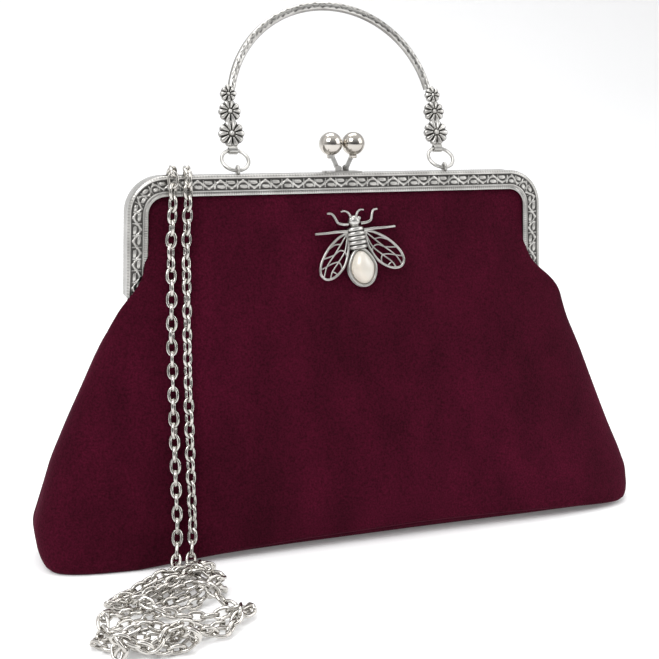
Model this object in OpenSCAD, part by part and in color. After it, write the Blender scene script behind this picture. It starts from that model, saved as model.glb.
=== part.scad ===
// Kiss-lock evening bag: velvet body on a two-half channel frame, with a ring-hung arch
// handle, a two-ball clasp, a bee ornament and a loose cable chain.
// X runs along the width, -Y is the front and +Z is up. The origin is the middle of the base.

/* [Body] */
// Widest half-width of the body
body_half_w = 152; // [125:1:170]
// Half-depth of the base
base_half_d = 30; // [24:1:38]
// Thickness of the padded velvet panels
panel_t = 2; // [1.2:0.1:3]
// Thickness of the lining
lining_t = 0.6; // [0.4:0.1:1]
// Thickness of the base board
board_t = 2; // [1:0.1:3]

/* [Frame] */
// Height of the frame's top edge
frame_z = 173; // [150:1:200]
// Half-width of the frame at its top corners
frame_half_w = 101.5; // [85:0.5:115]
// Height of the channel's front wall
band = 9; // [7.5:0.1:11]
// Depth of one half of the frame
half_d = 6.4; // [5.5:0.1:7.5]
// Thickness of the channel's walls
wall = 0.9; // [0.7:0.05:1.1]
// Gap between the two closed halves
parting = 0.3; // [0.2:0.05:0.6]
// Outer radius of the frame's corners
corner_r = 17; // [14:0.5:22]
// Distance from the frame's top edge down to the hinge
hinge_drop = 62; // [50:1:75]
// Outward lean of the legs in degrees
leg_lean = 2.5; // [0:0.5:4]
// Radius of the hinge rivets
rivet_r = 1.5; // [1:0.1:2]
// Running clearance of the hinge rivets and of the clasp's pins
run_fit = 0.05; // [0.02:0.01:0.1]

/* [Handle] */
// Half the distance between the two handle rings
ring_x = 51; // [40:1:60]
// Radius of the ring's centre line
ring_r = 6.2; // [5:0.1:7.5]
// Radius of the ring's wire
ring_wire = 0.85; // [0.6:0.05:1]
// Backward lean of the rings in degrees
ring_lean = 45; // [0:1:55]
// Backward lean of the handle in degrees
handle_lean = 15.5; // [0:0.5:40]
// Height of the handle above its pivot
handle_h = 71.6; // [58:1:85]
// Width of the handle's half-round band
bow_w = 4.2; // [3:0.1:4.5]
// Clearance of the handle's folded tabs around the curved wire of the rings
tab_fit = 0.45; // [0.4:0.05:0.7]

/* [Clasp] */
// Radius of the clasp balls
ball_r = 5.5; // [4:0.1:6]
// Gap between the two clasp balls
ball_gap = 0.4; // [0.3:0.1:1]
// Height of the ball centres above the frame
ball_h = 13.3; // [11.5:0.1:16]

/* [Bee] */
// Place of the bee's thorax along X
bee_x = 3.3; // [-20:0.1:20]
// Height of the bee's thorax below the frame's top edge
bee_drop = 30; // [26:0.5:40]
// Turn of the bee in the plane of the panel in degrees
bee_turn = 6.9; // [-15:0.1:15]
// Length of the pearl
pearl_l = 15.6; // [13:0.1:18]

/* [Chain] */
// Width of the chain's links
link_w = 5.4; // [4.6:0.1:5.8]

/* [Hidden] */
$fn = 48;

silver = [0.66, 0.65, 0.62];
bright = [0.85, 0.83, 0.80];
velvet = [0.24, 0.03, 0.12];
cloth = [0.16, 0.03, 0.09];

hinge_z = frame_z - hinge_drop;
corner_x = frame_half_w - corner_r;
corner_z = frame_z - corner_r;
leg_foot = 8;
leg_l = corner_z - hinge_z - leg_foot;
slot_inset = 3;
inner_band = band - 1.5;
ear_r = rivet_r + 3;
ear_t = 1.2;
ear_x = corner_x + corner_r * cos(leg_lean) + leg_l * sin(leg_lean) - 2 * ear_t;
side_clear = 0.3;
rivet_head_r = rivet_r + 1;
rivet_head_t = 0.8;

// Body shape: half-width and half-depth of its rounded cross-section at each height.
side_slope = 0.41;
widest_z = 18;
side_power = 2.6;
body_top = frame_z - band + slot_inset;
panel_z = 3.2;
fold = 2.5;
fold_drop = 18;
seam = 0.3;
shoulder_z = hinge_z + 4;
mouth_half_w = corner_x + corner_r - band + slot_inset;
slot_y = half_d - wall - 1.9;

function side_half_w(z) =
    z < widest_z ? body_half_w - 11 * pow((widest_z - z) / widest_z, 2)
                 : body_half_w - side_slope * (z - widest_z) * min(1, (z - widest_z + 6) / 30);
function half_w(z) = z > shoulder_z ? mouth_half_w : side_half_w(z);
function half_d_at(z) =
    z < widest_z ? base_half_d
                 : slot_y + (base_half_d - slot_y)
                   * pow((body_top - z) / (body_top - widest_z), 0.8);
function edge_y(z) = z > shoulder_z ? slot_y : 0;
function signed_pow(v, p) = sign(v) * pow(abs(v), p);
// One point of the wall: a is the angle around the body, side is -1 in front and 1 behind.
function wall_point(a, z, inset) =
    let (w = half_w(z) - inset, d = half_d_at(z) - inset, e = max(0, edge_y(z) - inset))
    [w * signed_pow(cos(a), 2 / side_power),
     sign(sin(a)) * (e + (d - e) * pow(abs(sin(a)), 2 / side_power)), z];
function front_y(x, z) =
    let (a = acos(signed_pow(x / half_w(z), side_power / 2))) wall_point(a, z, 0)[1];

// A closed sheet between two insets, over a range of angles and heights.
module wall_sheet(a0, a1, z0, z1, inset, thick, cols = 24, rows = 8) {
    grid = [for (layer = [0, 1]) for (r = [0:rows]) for (c = [0:cols])
        wall_point(a0 + (a1 - a0) * c / cols, z0 + (z1 - z0) * r / rows,
                   inset + layer * thick)];
    row = cols + 1;
    layer_n = row * (rows + 1);
    function outer(r, c) = r * row + c;
    function inner(r, c) = layer_n + r * row + c;
    quads = concat(
        [for (r = [0:rows - 1]) for (c = [0:cols - 1])
            [outer(r, c), outer(r, c + 1), outer(r + 1, c + 1), outer(r + 1, c)]],
        [for (r = [0:rows - 1]) for (c = [0:cols - 1])
            [inner(r + 1, c), inner(r + 1, c + 1), inner(r, c + 1), inner(r, c)]],
        [for (c = [0:cols - 1]) [outer(0, c + 1), outer(0, c), inner(0, c), inner(0, c + 1)]],
        [for (c = [0:cols - 1])
            [outer(rows, c), outer(rows, c + 1), inner(rows, c + 1), inner(rows, c)]],
        [for (r = [0:rows - 1]) [outer(r, 0), outer(r + 1, 0), inner(r + 1, 0), inner(r, 0)]],
        [for (r = [0:rows - 1])
            [outer(r + 1, cols), outer(r, cols), inner(r, cols), inner(r + 1, cols)]]);
    triangles = [for (q = quads) each [[q[0], q[2], q[1]], [q[0], q[3], q[2]]]];
    polyhedron(points = grid, faces = triangles);
}

// Frame outline in the XZ plane, filled, set in from the outer edge.
module arch_fill(inset) {
    r = corner_r - inset;
    n = [cos(leg_lean), sin(leg_lean)];
    top = [corner_x, corner_z] + r * n;
    foot = top + leg_l * [sin(leg_lean), -cos(leg_lean)];
    for (s = [-1, 1]) translate([s * corner_x, corner_z]) circle(r = r);
    polygon([[-foot[0], foot[1]], [-top[0], top[1]], [-corner_x, corner_z + r],
             [corner_x, corner_z + r], top, foot]);
}
module arch_band(outer, inner) {
    difference() {
        arch_fill(outer);
        arch_fill(inner);
        foot_strip();
    }
}
// Clears the thin skin that the two outlines leave between the feet of the legs.
module foot_strip() {
    w = corner_x + corner_r - band - 1;
    translate([-w, hinge_z]) square([2 * w, corner_z - hinge_z]);
}
// An outline drawn in XZ, extruded along Y from y0 to y1.
module along_y(y0, y1) {
    translate([0, y1, 0]) rotate([90, 0, 0]) linear_extrude(y1 - y0) children();
}
module along_x(x0, x1, r) {
    translate([x0, 0, 0]) rotate([0, 90, 0]) cylinder(h = x1 - x0, r = r);
}

strand_apart = link_w + 1.3;
chain_x = [-81, -81 + strand_apart];
notch_w = link_w + 1;
notch_y = link_w / 2 + 0.7;

// The front half of the channel; the back half is its mirror image.
module channel_half() {
    along_y(-half_d, -half_d + wall) arch_band(0, band);
    along_y(-wall - parting / 2, -parting / 2) arch_band(0, inner_band);
    along_y(-half_d + wall, -wall - parting / 2) arch_band(0, wall);
}
module chain_notch() {
    for (x = chain_x)
        translate([x - notch_w / 2, -notch_y, frame_z - band - 1])
            cube([notch_w, 2 * notch_y, band + 2]);
}
// Ear that carries the hinge rivet; inward is how far it sits in from the outer ear.
module hinge_ear(side, inward) {
    x0 = ear_x - inward - ear_t;
    mirror([side < 0 ? 1 : 0, 0, 0])
    difference() {
        union() {
            translate([0, 0, hinge_z]) along_x(x0, x0 + ear_t, ear_r);
            translate([x0, -half_d, hinge_z])
                cube([ear_t, half_d - parting / 2, leg_foot + 2]);
        }
        translate([0, 0, hinge_z]) along_x(x0 - 1, x0 + ear_t + 1, rivet_r + run_fit);
    }
}
module front_frame() {
    color(silver) difference() {
        union() {
            channel_half();
            for (s = [-1, 1]) hinge_ear(s, 0);
        }
        chain_notch();
    }
}
module back_frame() {
    color(silver) difference() {
        union() {
            mirror([0, 1, 0]) channel_half();
            for (s = [-1, 1]) mirror([0, 1, 0]) hinge_ear(s, ear_t + side_clear);
        }
        chain_notch();
    }
}
// The rivet's shank passes through both ears, with a head on each side.
module hinge_rivet(side) {
    x0 = ear_x - 2 * ear_t - side_clear;
    color(silver) mirror([side < 0 ? 1 : 0, 0, 0]) translate([0, 0, hinge_z]) {
        along_x(x0 - side_clear - rivet_head_t, ear_x + side_clear + rivet_head_t, rivet_r);
        along_x(ear_x + side_clear, ear_x + side_clear + rivet_head_t, rivet_head_r);
        along_x(x0 - side_clear - rivet_head_t, x0 - side_clear, rivet_head_r);
    }
}

// Handle hardware: eyelet, ring, tab, rosettes and bow.
eyelet_y = -half_d / 2;
eyelet_z = frame_z + 1.9;
eyelet_wire = 0.7;
module handle_eyelet(side) {
    hole_r = ring_wire + 0.25;
    color(silver) translate([side * ring_x, eyelet_y, 0]) {
        translate([0, 0, eyelet_z]) rotate([0, 90, 0])
            rotate_extrude() translate([hole_r + eyelet_wire, 0]) circle(r = eyelet_wire);
    }
}
ring_top = 2 * ring_r;
pivot_y = eyelet_y + ring_top * sin(ring_lean);
pivot_z = eyelet_z + ring_top * cos(ring_lean);
module handle_ring(side) {
    color(silver) translate([side * ring_x, eyelet_y, eyelet_z]) rotate([-ring_lean, 0, 0])
        translate([0, 0, ring_r]) rotate([90, 0, 0])
            rotate_extrude() translate([ring_r, 0]) circle(r = ring_wire);
}
// Puts a shape drawn with its pivot at the origin onto the top of the rings.
module on_rings() {
    translate([0, pivot_y, pivot_z]) rotate([-handle_lean, 0, 0]) children();
}
rosette_r = [5.6, 4.7, 3.5];
rosette_t = 2;
petals = [12, 10, 8];
joint_gap = 0.05;
tab_r = ring_wire + tab_fit + 0.7;
rosette_h = [tab_r + joint_gap + rosette_r[0],
             tab_r + 2 * joint_gap + 2 * rosette_r[0] + rosette_r[1],
             tab_r + 3 * joint_gap + 2 * rosette_r[0] + 2 * rosette_r[1] + rosette_r[2]];
bow_foot = rosette_h[2] + rosette_r[2] + joint_gap;
bow_rise = handle_h - bow_foot;
bow_r = (ring_x * ring_x + bow_rise * bow_rise) / (2 * bow_rise);
bow_t = 2.2;
// The band's cross-section is flat behind and round in front.
module bow_section() {
    intersection() {
        translate([0, bow_t - bow_w * 0.62]) circle(r = bow_w * 0.62);
        translate([-bow_w / 2, 0]) square([bow_w, bow_t]);
    }
}
module handle_bow() {
    end_angle = asin((bow_r - bow_rise) / bow_r);
    color(silver) on_rings() translate([0, 0, handle_h - bow_r])
        rotate([90, 0, 0]) rotate([0, 0, end_angle])
            rotate_extrude(angle = 180 - 2 * end_angle)
                translate([bow_r - bow_w / 2, -bow_t / 2]) bow_section();
}
module rosette(size, side) {
    r = rosette_r[size];
    petal_r = r * 0.24;
    color(silver) on_rings() translate([side * ring_x, 0, rosette_h[size]])
        rotate([90, 0, 0]) {
            difference() {
                translate([0, 0, -rosette_t / 2]) cylinder(h = rosette_t, r = r);
                for (i = [0:petals[size] - 1])
                    rotate([0, 0, 360 * (i + 0.5) / petals[size]])
                        translate([r + petal_r * 0.55, 0, -rosette_t])
                            cylinder(h = 3 * rosette_t, r = petal_r);
            }
            translate([0, 0, rosette_t / 2 - r * 0.28]) sphere(r = r * 0.42);
        }
}
// The tab is folded round the top of the ring and reaches up to the large rosette.
module handle_tab(side) {
    tab_w = 4;
    tongue_t = 1.8;
    color(silver) on_rings() translate([side * ring_x, 0, 0]) difference() {
        union() {
            along_x(-tab_w / 2, tab_w / 2, tab_r);
            translate([-tab_w / 2, -tongue_t / 2, 0]) cube([tab_w, tongue_t, tab_r - joint_gap]);
        }
        along_x(-tab_w, tab_w, ring_wire + tab_fit);
    }
}

// Clasp: one plate, one lever and one ball on each half.
ball_x = ball_r + ball_gap / 2;
ball_y = 0.4;
plate_t = 0.8;
lever_w = 2.2;
lever_t = 1;
lever_y = 1.9;
lever_pin_r = 0.7;
lever_pin_z = frame_z + plate_t + 1.2;
lever_foot_x = 3;
plate_half_w = 8;
lug_t = 1.2;
lug_r = lever_pin_r + 0.8;
lug_gap = 0.1;
stem_r = 1.5;
stem_y = 1.6;
lever_top = frame_z + ball_h - ball_r * 0.9;
module clasp_plate(side) {
    lug_y = lever_y + lever_t + lug_gap;
    color(silver) mirror([0, side > 0 ? 1 : 0, 0]) {
        translate([-plate_half_w, -half_d + 0.6, frame_z])
            cube([2 * plate_half_w, half_d - 1.2, plate_t]);
        translate([side * lever_foot_x, 0, lever_pin_z]) rotate([90, 0, 0]) {
            translate([0, 0, lug_y]) cylinder(h = lug_t, r = lug_r);
            translate([0, 0, lever_y - 1]) cylinder(h = lever_t + 2, r = lever_pin_r);
        }
        translate([side * lever_foot_x - lug_r, -lug_y - lug_t, frame_z])
            cube([2 * lug_r, lug_t, lever_pin_z - frame_z]);
    }
}
module clasp_lever(side) {
    foot = [side * lever_foot_x, lever_pin_z];
    head = [side * ball_x, lever_top - 0.8];
    half = lever_w / 2;
    color(silver) mirror([0, side > 0 ? 1 : 0, 0]) difference() {
        union() {
            along_y(-lever_y - lever_t, -lever_y) {
                polygon([[foot[0] - half, foot[1]], [foot[0] + half, foot[1]],
                         [head[0] + half, head[1]], [head[0] - half, head[1]]]);
                translate(foot) circle(r = half);
            }
            translate([side * ball_x, -stem_y, head[1] - 0.6])
                cylinder(h = lever_top - head[1] + 0.6, r = stem_r);
        }
        translate([foot[0], 0, foot[1]]) rotate([90, 0, 0])
            cylinder(h = 3 * half_d, r = lever_pin_r + run_fit, center = true);
    }
}
module clasp_ball(side) {
    color(bright) difference() {
        translate([side * ball_x, side * ball_y, frame_z + ball_h]) sphere(r = ball_r);
        translate([side * ball_x, side * stem_y, frame_z])
            cylinder(h = lever_top - frame_z + joint_gap, r = stem_r + 0.1);
    }
}

// Velvet panels. Angles run from 0 at the right side, through 90 behind and 270 in front.
side_angle = 9;
angle_gap = 0.35;
lining_in = panel_t + 0.4;
module front_panel() {
    color(velvet) {
        wall_sheet(180 + side_angle, 360 - side_angle, panel_z, shoulder_z - seam, 0, panel_t, 32, 8);
        wall_sheet(180, 360, shoulder_z + seam, body_top, 0, panel_t, 32, 5);
    }
}
module back_panel() {
    color(velvet) wall_sheet(side_angle, 180 - side_angle, panel_z, hinge_z - fold_drop, 0, panel_t, 32, 8);
}
module back_panel_top() {
    color(velvet) wall_sheet(0, 180, shoulder_z + fold, body_top, 0, panel_t, 32, 5);
}
module gusset(side) {
    a = side > 0 ? 0 : 180;
    spread = side_angle - angle_gap;
    color(velvet) wall_sheet(a - spread, a + spread, panel_z, hinge_z - ear_r - 2, 0, panel_t, 12, 8);
}
module base_outline(inset) {
    w = half_w(0) - inset;
    d = base_half_d - inset;
    polygon([for (a = [0:10:350])
        [w * signed_pow(cos(a), 2 / side_power), d * signed_pow(sin(a), 2 / side_power)]]);
}
module base_panel() {
    color(velvet) linear_extrude(panel_z - seam) base_outline(0);
}
module base_board() {
    color([0.5, 0.4, 0.3]) translate([0, 0, panel_z]) linear_extrude(board_t) base_outline(lining_in + 2);
}
module front_lining() {
    color(cloth)
        wall_sheet(182, 358, panel_z + board_t + 1, hinge_z - fold, lining_in, lining_t, 24, 8);
}
module back_lining() {
    color(cloth)
        wall_sheet(3, 177, panel_z + board_t + 1, hinge_z - fold_drop, lining_in, lining_t, 24, 8);
}
module back_lining_top() {
    z0 = shoulder_z + fold + 8;
    color(cloth) wall_sheet(4, 176, z0, body_top - slot_inset - 4, lining_in, 0.4, 32, 5);
}
cord_r = 0.6;
module paper_cord(side) {
    color([0.8, 0.75, 0.6]) translate([0, side * (slot_y + 0.9), frame_z - wall - cord_r - 0.2])
        along_x(-corner_x, corner_x, cord_r);
}

// Bee, drawn in its own plane: X across, Y towards the head and Z out from the panel.
bee_z = frame_z - bee_drop;
panel_slope = atan((front_y(bee_x, bee_z - 20) - front_y(bee_x, bee_z)) / 20);
bee_stand = 1.2;
bee_y = -front_y(bee_x, bee_z) - bee_stand;
pearl_y = -13.6;
pearl_r = 6;
module on_panel() {
    translate([bee_x, bee_y, bee_z]) rotate([90 - panel_slope, 0, 0]) rotate([0, 0, bee_turn])
        children();
}
// The pearl's radius shrinks towards its upper end, where the sine of the angle is positive.
function egg_r(a) = cos(a) * (sin(a) > 0 ? 1 - 0.25 * sin(a) : 1);
module pearl_form(flat) {
    intersection() {
        translate([0, pearl_y, flat]) rotate([-90, 0, 0]) rotate_extrude()
            polygon([for (a = [-90:15:90]) [pearl_r * egg_r(a), pearl_l / 2 * sin(a)]]);
        translate([-20, -40, flat]) cube([40, 50, 20]);
    }
}
thorax_rings = 5;
thorax_pitch = 2.3;
thorax_r = 5.4;
bee_level = 1;
head_r = 2.9;
head_y = 7.6;
bezel_grow = 1.3;
bezel_h = 1.6;
// The side of a bee part that faces the panel is cut flat.
module above_panel() {
    intersection() {
        children();
        translate([-20, -40, 0]) cube([40, 60, 20]);
    }
}
module bee_body() {
    color(silver) on_panel() above_panel() {
        pearl_bezel();
        for (i = [0:thorax_rings - 1]) {
            r = thorax_r - abs(i - 1.5) * 0.5;
            translate([0, -5 + thorax_pitch * i, bee_level]) rotate([-90, 0, 0])
                cylinder(h = thorax_pitch + 0.3, r1 = r, r2 = r - 0.7);
        }
        translate([0, head_y, bee_level]) sphere(r = head_r);
    }
}
module pearl_bezel() {
    linear_extrude(bezel_h) translate([0, pearl_y]) bezel_outline(bezel_grow);
}
module bezel_outline(grow) {
    polygon([for (a = [0:15:345])
        [(pearl_r + grow) * egg_r(a), (pearl_l / 2 + grow) * sin(a)]]);
}
module bee_pearl() {
    color([0.93, 0.91, 0.88]) on_panel() pearl_form(bezel_h + joint_gap);
}
wing_t = 0.9;
// The wing's open cells: centre and radius of each.
wing_cells = [[8.6, -2.2, 1], [11.6, -5, 1.6], [15.2, -8.2, 1.8], [11.8, -9.6, 1.5],
              [17.2, -12.6, 1.6], [14.2, -13, 1.2]];
module wing_outline() {
    polygon([[4.6, 3.2], [9.5, 1.2], [15, -2.8], [19.4, -8.2], [20.9, -13], [19.4, -16],
             [16.2, -16.6], [12.2, -15], [8.4, -11.6], [6, -7], [4.6, -2.2]]);
}
module bee_wing(side) {
    color(silver) on_panel() mirror([side < 0 ? 1 : 0, 0, 0]) difference() {
        translate([0, 0, 0.4]) linear_extrude(wing_t) wing_outline();
        translate([0, 0, -1]) for (p = wing_cells)
            translate([p[0], p[1], 0]) cylinder(h = 4, r = p[2]);
    }
}
leg_r = 0.55;
leg_level = 0.9;
// A thin cast leg: a strip of even width along points of the bee's plane.
module bee_limb(points) {
    n = len(points);
    function heading(i) = points[min(i + 1, n - 1)] - points[max(i - 1, 0)];
    function edge(i, s) = let (h = heading(i) / norm(heading(i))) points[i] + s * leg_r * [-h[1], h[0]];
    translate([0, 0, leg_level - leg_r]) linear_extrude(height = 2 * leg_r)
        polygon(concat([for (i = [0:n - 1]) edge(i, 1)], [for (i = [n - 1:-1:0]) edge(i, -1)]));
}
module bee_legs() {
    color(silver) on_panel() for (s = [0, 1]) mirror([s, 0, 0]) {
        bee_limb([[5.2, 3.6], [19.6, 3.6]]);
        bee_limb([[3.2, 6.8], [8.2, 8], [9.6, 11.2], [12.4, 12.7]]);
        bee_limb([[1.4, 9.8], [3, 12.4], [5.6, 12.9]]);
    }
}
// Two posts pass through the panel and its lining; a washer behind holds each.
post_at = [-13, 2];
post_r = 0.8;
washer_r = 3;
washer_t = 0.6;
module bee_posts() {
    post_l = bee_stand + panel_t + lining_in;
    color(silver) on_panel() for (y = post_at)
        translate([0, y, -post_l]) cylinder(h = post_l - joint_gap / 2, r = post_r);
}
module bee_washers() {
    washer_z = -bee_stand - panel_t - lining_in - washer_t - 1;
    color(silver) on_panel() for (y = post_at)
        translate([0, y, washer_z]) difference() {
            cylinder(h = washer_t, r = washer_r);
            translate([0, 0, -1]) cylinder(h = washer_t + 2, r = post_r + joint_gap);
        }
}

// Chain: two strands over the frame's front rim, down the front and into the heap.
pile_r = 31;
pile_h = 13;
pile_centre = [-104, -base_half_d - 56, 0];
strand_r = link_w / 2 - 0.6;
strand_gap = 1;
// Inside the bag the strand keeps clear of the back half, whatever its thickness.
strand_in_y = 1.2 - strand_r;
strand_end = 22;
strand_low = 22;
strand_high = frame_z - 33;
// A strand drifts sideways by this much as it hangs.
function strand_drift(z) = 1 + 6.5 * pow(max(0, 1 - z / (frame_z - 13)), 0.6);
function strand(x) = concat(
    [for (drop = [strand_end, 11, 2]) [x, strand_in_y, frame_z - drop]],
    [[x, -2, frame_z + strand_r], [x, -half_d + 1.4, frame_z + strand_r + 1],
     [x - 0.4, -half_d - strand_r + 0.4, frame_z + strand_r - 0.6],
     [x - 0.8, -half_d - strand_r - 0.6, frame_z - 5],
     [x - 1.2, -half_d - strand_r - strand_gap, frame_z - 13]],
    [for (i = [0:6]) let (z = strand_high + (strand_low - strand_high) * i / 6, hang_x = x - strand_drift(z))
        [hang_x, -front_y(hang_x, z) - strand_r - strand_gap, z]],
    [[x - 8, -base_half_d - strand_r - 0.4, 12], [x - 10, -base_half_d - 10, 6],
     [x - 12, -base_half_d - 20, 4.5], [x - 14, -base_half_d - 30, 6]]);
// A closed tube of 8 sides swept along a list of points that stays near one vertical plane.
module tube(path, r, sides = 8) {
    n = len(path);
    function heading(i) = path[min(i + 1, n - 1)] - path[max(i - 1, 0)];
    function across(i) = let (h = heading(i), c = cross(h, [1, 0, 0])) c / norm(c);
    points = [for (i = [0:n - 1]) for (k = [0:sides - 1])
        let (v = across(i), h = heading(i), u = cross(v, h) / norm(cross(v, h)), a = 360 * k / sides)
        path[i] + r * (cos(a) * u + sin(a) * v)];
    function at(i, k) = i * sides + k % sides;
    faces = concat(
        [[for (k = [0:sides - 1]) at(0, k)]],
        [[for (k = [sides - 1:-1:0]) at(n - 1, k)]],
        [for (i = [0:n - 2]) for (k = [0:sides - 1]) [at(i, k), at(i + 1, k), at(i + 1, k + 1)]],
        [for (i = [0:n - 2]) for (k = [0:sides - 1]) [at(i, k), at(i + 1, k + 1), at(i, k + 1)]]);
    polyhedron(points = points, faces = faces);
}
module chain_strand(x) {
    color(bright) tube(strand(x), strand_r);
}
module chain_pile() {
    sphere_r = (pile_r * pile_r + pile_h * pile_h) / (2 * pile_h);
    color(bright) translate(pile_centre) intersection() {
        translate([0, 0, pile_h - sphere_r]) sphere(r = sphere_r);
        translate([-pile_r, -pile_r, 0]) cube([2 * pile_r, 2 * pile_r, pile_h]);
    }
}
clasp_l = 9;
clasp_z = frame_z - strand_end - joint_gap;
module chain_clasp(x) {
    color(bright) translate([x, strand_in_y, clasp_z]) {
        translate([0, 0, -clasp_l]) cylinder(h = clasp_l, r = 1.6);
        translate([0, 0, -clasp_l - 1.9]) rotate([0, 90, 0]) difference() {
            cylinder(h = 1.4, r = 2.4, center = true);
            cylinder(h = 3, r = 1.5, center = true);
        }
    }
}
// A loop of ribbon runs from the clasp's eye forward to the front panel, where it is sewn on.
module chain_tab(x) {
    z = clasp_z + joint_gap - clasp_l - 4.8;
    drop = 16;
    ribbon_w = 3.2;
    foot_y = -front_y(x, z - drop) + panel_t + 0.1 - strand_in_y;
    color(cloth) translate([x, strand_in_y, z]) {
        rotate([90, 0, 0]) rotate_extrude() translate([1.6, 0]) circle(r = 0.4);
        translate([-ribbon_w / 2, 0, 0]) rotate([90, 0, 90]) linear_extrude(ribbon_w)
            polygon([[-0.5, -1.8], [0.5, -1.8], [foot_y + 1, -drop], [foot_y, -drop]]);
    }
}

front_frame();
back_frame();
hinge_rivet(-1);  // hinge_rivet_left
hinge_rivet(1);  // hinge_rivet_right
handle_eyelet(-1);  // handle_eyelet_left
handle_eyelet(1);  // handle_eyelet_right
handle_ring(-1);  // handle_ring_left
handle_ring(1);  // handle_ring_right
handle_bow();
handle_tab(-1);  // handle_tab_left
handle_tab(1);  // handle_tab_right
rosette(0, -1);  // rosette_large_left
rosette(0, 1);  // rosette_large_right
rosette(1, -1);  // rosette_medium_left
rosette(1, 1);  // rosette_medium_right
rosette(2, -1);  // rosette_small_left
rosette(2, 1);  // rosette_small_right
clasp_plate(-1);  // clasp_plate_front
clasp_plate(1);  // clasp_plate_back
clasp_lever(-1);  // clasp_lever_front
clasp_lever(1);  // clasp_lever_back
clasp_ball(-1);  // clasp_ball_front
clasp_ball(1);  // clasp_ball_back
front_panel();
back_panel();
back_panel_top();
gusset(-1);  // gusset_left
gusset(1);  // gusset_right
base_panel();
base_board();
front_lining();
back_lining();
back_lining_top();
paper_cord(-1);  // paper_cord_front
paper_cord(1);  // paper_cord_back
bee_body();
bee_pearl();
bee_wing(-1);  // bee_wing_left
bee_wing(1);  // bee_wing_right
bee_legs();
bee_posts();
bee_washers();
chain_strand(chain_x[0]);  // chain_strand_left
chain_strand(chain_x[1]);  // chain_strand_right
chain_pile();
chain_clasp(chain_x[0]);  // chain_clasp_left
chain_clasp(chain_x[1]);  // chain_clasp_right
chain_tab(chain_x[0]);  // chain_tab_left
chain_tab(chain_x[1]);  // chain_tab_right
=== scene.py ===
"""Looks of the kiss-lock evening bag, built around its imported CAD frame."""

import math

import bpy
import numpy as np
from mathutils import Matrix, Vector, noise


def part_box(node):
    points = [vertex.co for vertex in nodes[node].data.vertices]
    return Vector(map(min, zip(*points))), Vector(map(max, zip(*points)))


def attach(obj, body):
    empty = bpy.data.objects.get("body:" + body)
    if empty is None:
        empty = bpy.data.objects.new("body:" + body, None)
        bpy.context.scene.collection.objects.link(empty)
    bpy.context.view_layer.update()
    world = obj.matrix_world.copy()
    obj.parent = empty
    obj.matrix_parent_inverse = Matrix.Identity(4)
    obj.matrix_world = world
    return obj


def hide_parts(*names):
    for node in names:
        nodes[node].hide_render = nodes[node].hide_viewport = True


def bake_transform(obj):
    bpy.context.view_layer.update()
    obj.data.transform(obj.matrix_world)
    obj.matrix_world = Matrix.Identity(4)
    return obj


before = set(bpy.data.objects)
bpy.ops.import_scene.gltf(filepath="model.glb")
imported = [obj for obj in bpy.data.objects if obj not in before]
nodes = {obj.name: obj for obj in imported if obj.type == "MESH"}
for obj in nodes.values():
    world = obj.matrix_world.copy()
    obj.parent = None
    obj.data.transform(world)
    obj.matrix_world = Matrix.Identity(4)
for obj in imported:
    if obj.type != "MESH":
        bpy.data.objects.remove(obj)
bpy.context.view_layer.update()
MM = 0.001

# ---------------------------------------------------------------- camera and chain route

CAMERA_AT = (-0.1739, -0.4934, 0.1994)
CAMERA_YAW = 18.78
CAMERA_PITCH = 10.97
CAMERA_LENS = 60.4


def make_camera():
    camera = bpy.data.objects.new("camera", bpy.data.cameras.new("camera"))
    bpy.context.scene.collection.objects.link(camera)
    camera.location = CAMERA_AT
    camera.rotation_euler = (math.radians(90 - CAMERA_PITCH), 0, math.radians(-CAMERA_YAW))
    camera.data.lens = CAMERA_LENS
    camera.data.sensor_width = 36
    camera.data.clip_start = 0.01
    bpy.context.scene.camera = camera


make_camera()

# ---------------------------------------------------------------- sizes, in millimetres


def node_size(node):
    """The low and high corners of a CAD node."""
    low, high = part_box(node)
    return np.array(low) / MM, np.array(high) / MM


frame_low, frame_high = node_size("front_frame")
base_high = node_size("base_panel")[1]
ball_low, ball_high = node_size("clasp_ball_front")
rivet_low, rivet_high = node_size("hinge_rivet_left")
eyelet_low, eyelet_high = node_size("handle_eyelet_right")
ring_low, ring_high = node_size("handle_ring_right")
FRAME_Z = frame_high[2]
HALF_D = -frame_low[1]
BASE_D = base_high[1]
MOUTH_Z = FRAME_Z - 6
HINGE_Z = (rivet_low[2] + rivet_high[2]) / 2
SLOT_Y = HALF_D - 2.8
WIDEST_Z = 18
# Half-widths of the sagging body on its left and right, then how far its side edges stand off
# the middle plane, each as (height, value).
LEFT = [(0, 144), (6, 147), (18, 148.3), (47, 139), (65, 131), (79, 124.2), (93, 117.6),
        (102, 113), (111, 108.7), (116, 106), (121, 101.5), (126, 97.5), (131, 95.6), (136, 94.6),
        (175, 95.2)]
RIGHT = [(0, 152), (6, 156), (17, 157), (28, 153.5), (39, 148.5), (61, 139), (83, 129.5),
         (105, 118.7), (112, 115), (118, 110.5), (123, 104.5), (127, 99), (131, 96), (136, 94.6),
         (175, 95.2)]
EDGES = [(0, 0), (98, 0), (106, 2.5), (114, 6.9), (120, 8.0), (132, 7.8), (139, 4.2), (145, 3.6),
         (175, 3.6)]


def curve(keys, z, soften=3.0):
    """Reads a curve through (height, value) keys, softened over a few millimetres."""
    heights, values = zip(*keys)
    around = np.linspace(-soften, soften, 7)
    return float(np.mean([np.interp(z + d, heights, values) for d in around]))


def depth(z):
    rise = min(1, max(0, (MOUTH_Z - z) / (MOUTH_Z - WIDEST_Z)))
    return SLOT_Y + (BASE_D - SLOT_Y) * rise**0.8


def roundness(z):
    """Power of the superellipse of the section: nearly square at the floor, softer above."""
    return 2.6 + 3.2 * math.exp(-z / 14)


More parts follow.
